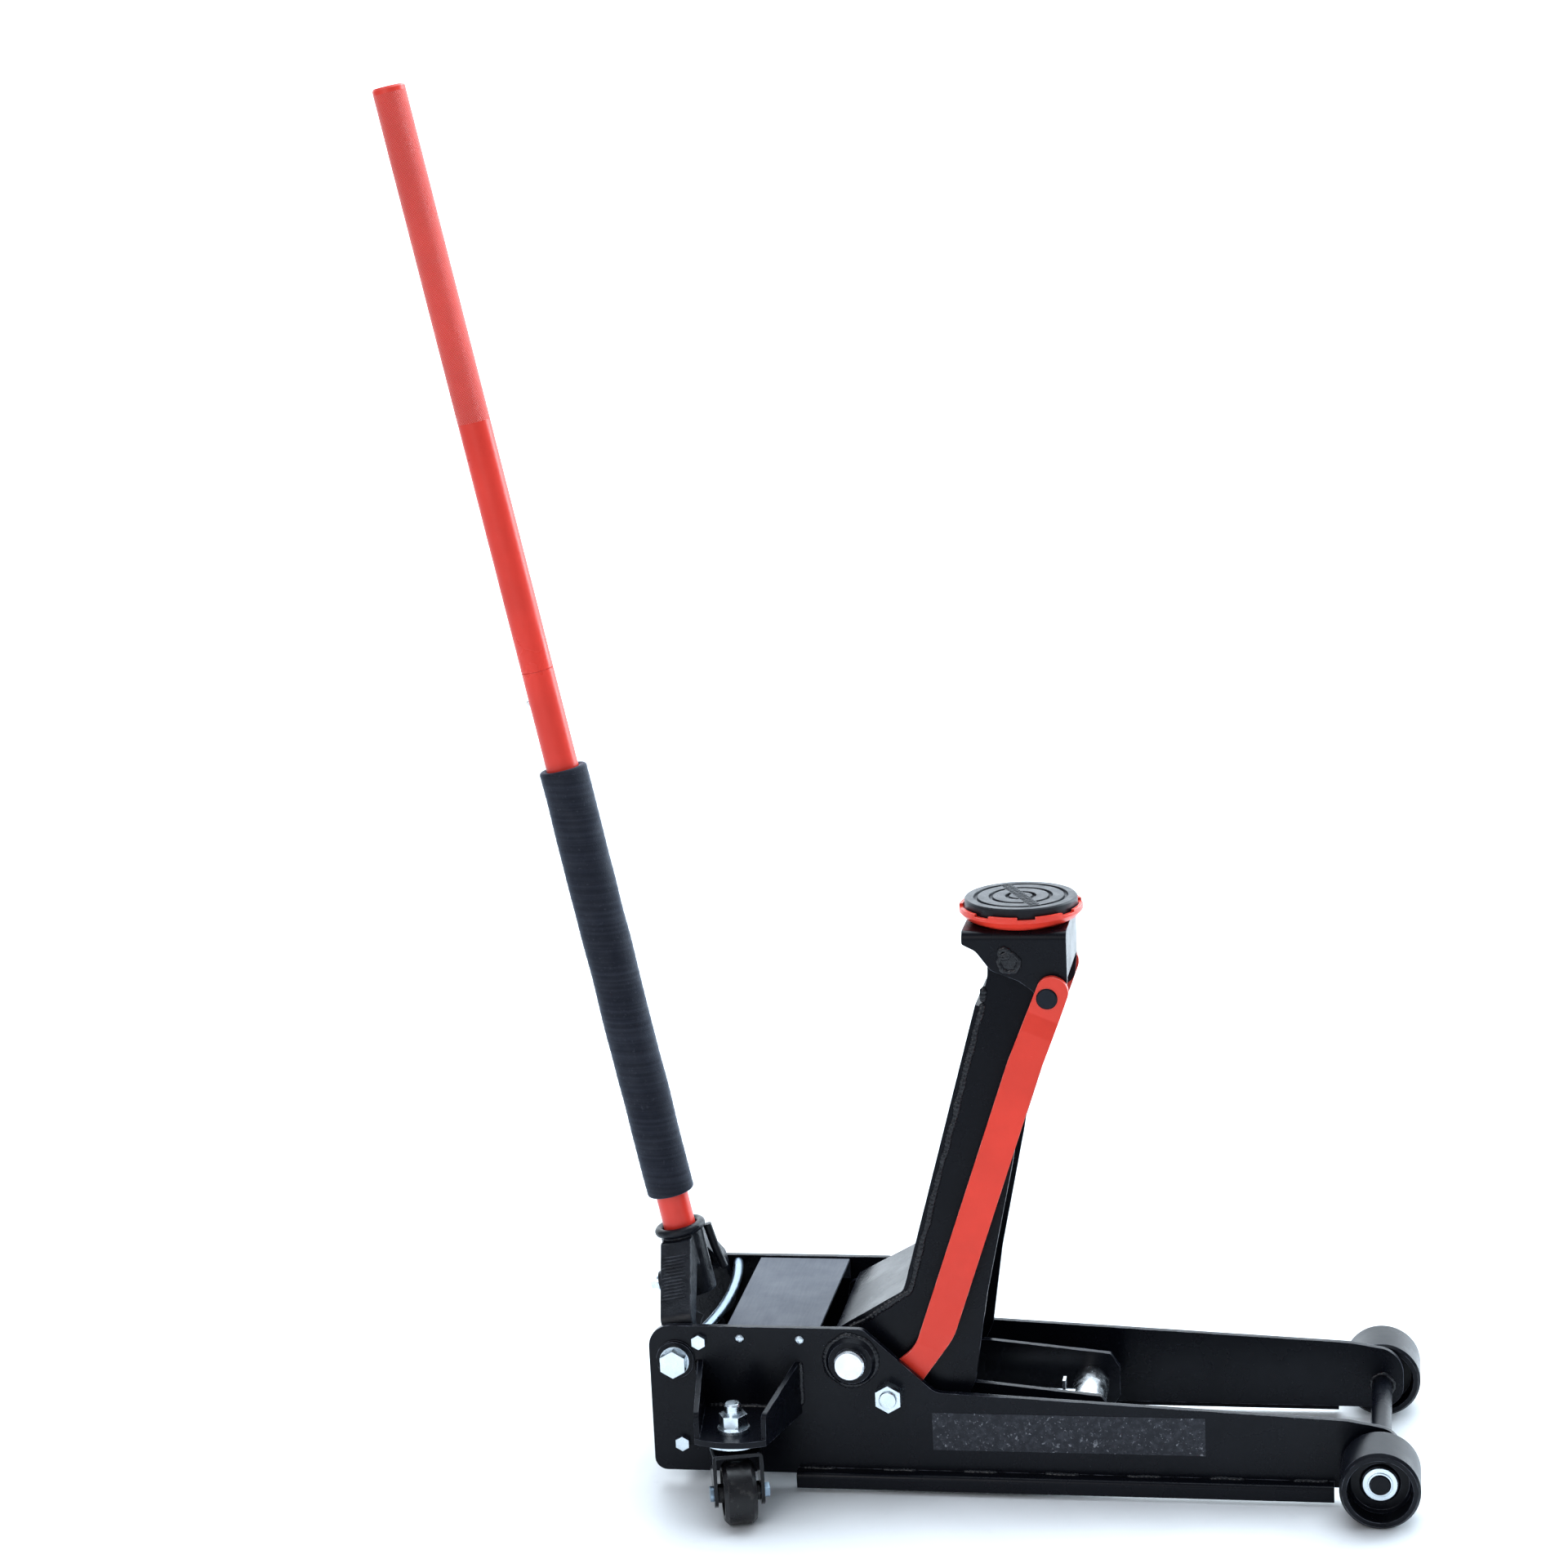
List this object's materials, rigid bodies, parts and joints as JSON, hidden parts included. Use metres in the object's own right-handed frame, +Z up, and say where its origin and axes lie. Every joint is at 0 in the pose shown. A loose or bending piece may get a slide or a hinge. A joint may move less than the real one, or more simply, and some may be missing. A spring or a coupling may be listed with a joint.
{
  "type": "hydraulic trolley jack",
  "caption": "Low-profile hydraulic trolley jack: side-plate frame on steel wheels and casters, raised lift arm with level saddle head, and a two-piece pump handle with foam sleeve.",
  "frame": {"origin": "on the ground under the middle of the whole jack's bounding box, lift arm raised", "axes": "+X forward from the handle to the front wheels, +Y to the jack's left, +Z up and out of the saddle"},
  "size_m": [0.9531, 0.432, 1.3485],
  "materials": {
    "black_paint": "satin powder coat",
    "wheel_paint": "satin paint",
    "red_paint": "gloss paint",
    "zinc_steel": "bright zinc plate",
    "bright_steel": "ground steel",
    "dark_steel": "oiled dark steel",
    "grey_sheet": "satin grey film",
    "pad_rubber": "matt rubber",
    "foam": "closed-cell foam rubber",
    "caster_tread": "moulded nylon",
    "cast_block": "painted casting",
    "cast_yoke": "painted casting"
  },
  "bodies": {
    "frame": {"side_plate_right": "black_paint", "side_plate_left": "black_paint", "cover_plate": "grey_sheet", "cover_rivets": "zinc_steel", "frame_bolts": "zinc_steel", "stop_rod": "bright_steel", "front_axle": "bright_steel", "axle_rings": "zinc_steel", "lift_shaft": "bright_steel", "link_bolts": "zinc_steel", "link_nuts": "zinc_steel", "hydraulic_block": "cast_block", "cylinder_tube": "black_paint", "reservoir_tube": "black_paint", "gland_nut": "dark_steel", "yoke_bolts": "zinc_steel", "caster_bracket_right": "black_paint", "caster_bracket_left": "black_paint", "caster_stem_right": "zinc_steel", "caster_stem_left": "zinc_steel", "caster_nuts": "zinc_steel"},
    "front_wheel_right_body": {"front_wheel_right": "wheel_paint"},
    "front_wheel_left_body": {"front_wheel_left": "wheel_paint"},
    "arm": {"arm_plate_right": "black_paint", "arm_plate_left": "black_paint", "arm_rear_plate": "black_paint", "arm_bush": "black_paint", "crank_pins": "dark_steel"},
    "radius_links": {"radius_link_right": "red_paint", "radius_link_left": "red_paint"},
    "head": {"head_bracket": "black_paint", "head_pins": "dark_steel", "link_pins": "dark_steel"},
    "saddle": {"saddle_cup": "red_paint", "saddle_pad": "pad_rubber", "saddle_ring": "dark_steel"},
    "ram": {"ram_rod": "bright_steel", "crosshead_pin": "bright_steel", "crosshead_rings": "dark_steel"},
    "pull_links": {"pull_link_right": "black_paint", "pull_link_left": "black_paint"},
    "yoke_body": {"yoke": "cast_yoke", "yoke_ring": "cast_yoke", "yoke_rod": "black_paint", "pump_cam": "dark_steel", "handle_bolt": "zinc_steel"},
    "handle": {"handle_lower_tube": "red_paint", "handle_upper_tube": "red_paint", "foam_sleeve": "foam"},
    "button": {"lock_button": "bright_steel"},
    "pump_right": {"pump_piston_right": "bright_steel"},
    "pump_left": {"pump_piston_left": "bright_steel"},
    "valve": {"release_valve": "zinc_steel"},
    "caster_swivel_right": {"caster_fork_right": "black_paint", "caster_bolt_right": "zinc_steel"},
    "caster_swivel_left": {"caster_fork_left": "black_paint", "caster_bolt_left": "zinc_steel"},
    "caster_roller_right": {"caster_wheel_right": "caster_tread"},
    "caster_roller_left": {"caster_wheel_left": "caster_tread"}
  },
  "joints": [
    {"name": "arm_lift", "type": "hinge", "parent": "frame", "child": "arm", "pos_m": [-0.06076, 0, 0.131], "axis": [0, -1, 0], "range_deg": [-77, 0]},
    {"name": "radius_link_swing", "type": "hinge", "parent": "frame", "child": "radius_links", "pos_m": [-0.02476, 0, 0.097], "axis": [0, -1, 0], "range_deg": [-77, 0]},
    {"name": "head_level", "type": "hinge", "parent": "arm", "child": "head", "pos_m": [0.09786, 0, 0.51395], "axis": [0, -1, 0], "range_deg": [0, 77]},
    {"name": "saddle_spin", "type": "hinge", "parent": "head", "child": "saddle", "pos_m": [0.10586, 0, 0.54325], "axis": [0, 0, 1], "continuous": true},
    {"name": "ram_slide", "type": "slide", "parent": "frame", "child": "ram", "axis": [1, 0, 0], "range_m": [-0.11846, 0]},
    {"name": "pull_link_swing", "type": "hinge", "parent": "ram", "child": "pull_links", "pos_m": [0.15524, 0, 0.052], "axis": [0, -1, 0], "range_deg": [0, 15.01]},
    {"name": "handle_pump", "type": "hinge", "parent": "frame", "child": "yoke_body", "pos_m": [-0.23276, 0, 0.129], "axis": [0, -1, 0], "range_deg": [-5, 55]},
    {"name": "handle_twist", "type": "hinge", "parent": "yoke_body", "child": "handle", "pos_m": [-0.22491, 0, 0.13053], "axis": [-0.1908, 0, 0.9816], "range_deg": [0, 90]},
    {"name": "button_press", "type": "slide", "parent": "handle", "child": "button", "axis": [0.9816, 0, 0.1908], "range_m": [0, 0.002], "stiffness_N_per_m": 2000},
    {"name": "pump_stroke_right", "type": "slide", "parent": "frame", "child": "pump_right", "axis": [1, 0, 0], "range_m": [-0.0031, 0.0337]},
    {"name": "pump_stroke_left", "type": "slide", "parent": "frame", "child": "pump_left", "axis": [1, 0, 0], "range_m": [-0.0031, 0.0337]},
    {"name": "valve_turn", "type": "hinge", "parent": "frame", "child": "valve", "pos_m": [-0.18876, 0, 0.08], "axis": [0, 0, 1], "range_deg": [0, 90]},
    {"name": "front_wheel_spin_right", "type": "hinge", "parent": "frame", "child": "front_wheel_right_body", "pos_m": [0.43924, -0.134, 0.0375], "axis": [0, 1, 0], "continuous": true},
    {"name": "front_wheel_spin_left", "type": "hinge", "parent": "frame", "child": "front_wheel_left_body", "pos_m": [0.43924, 0.134, 0.0375], "axis": [0, 1, 0], "continuous": true},
    {"name": "caster_turn_right", "type": "hinge", "parent": "frame", "child": "caster_swivel_right", "pos_m": [-0.16676, -0.16, 0.07], "axis": [0, 0, 1], "continuous": true},
    {"name": "caster_roll_right", "type": "hinge", "parent": "caster_swivel_right", "child": "caster_roller_right", "pos_m": [-0.15987, -0.18403, 0.03], "axis": [0.9613, 0.2756, 0], "continuous": true},
    {"name": "caster_turn_left", "type": "hinge", "parent": "frame", "child": "caster_swivel_left", "pos_m": [-0.16676, 0.16, 0.07], "axis": [0, 0, 1], "continuous": true},
    {"name": "caster_roll_left", "type": "hinge", "parent": "caster_swivel_left", "child": "caster_roller_left", "pos_m": [-0.15987, 0.18403, 0.03], "axis": [0.9613, -0.2756, 0], "continuous": true}
  ],
  "couplings": [
    {"joint": "radius_link_swing", "follows": "arm_lift", "ratio": 1},
    {"joint": "head_level", "follows": "arm_lift", "ratio": -1},
    {"joint": "ram_slide", "follows": "arm_lift", "m_per_rad": 0.088144},
    {"joint": "pull_link_swing", "follows": "arm_lift", "ratio": -0.19477},
    {"joint": "pump_stroke_right", "follows": "handle_pump", "m_per_rad": 0.035},
    {"joint": "pump_stroke_left", "follows": "handle_pump", "m_per_rad": 0.035},
    {"joint": "valve_turn", "follows": "handle_twist", "ratio": 1}
  ]
}
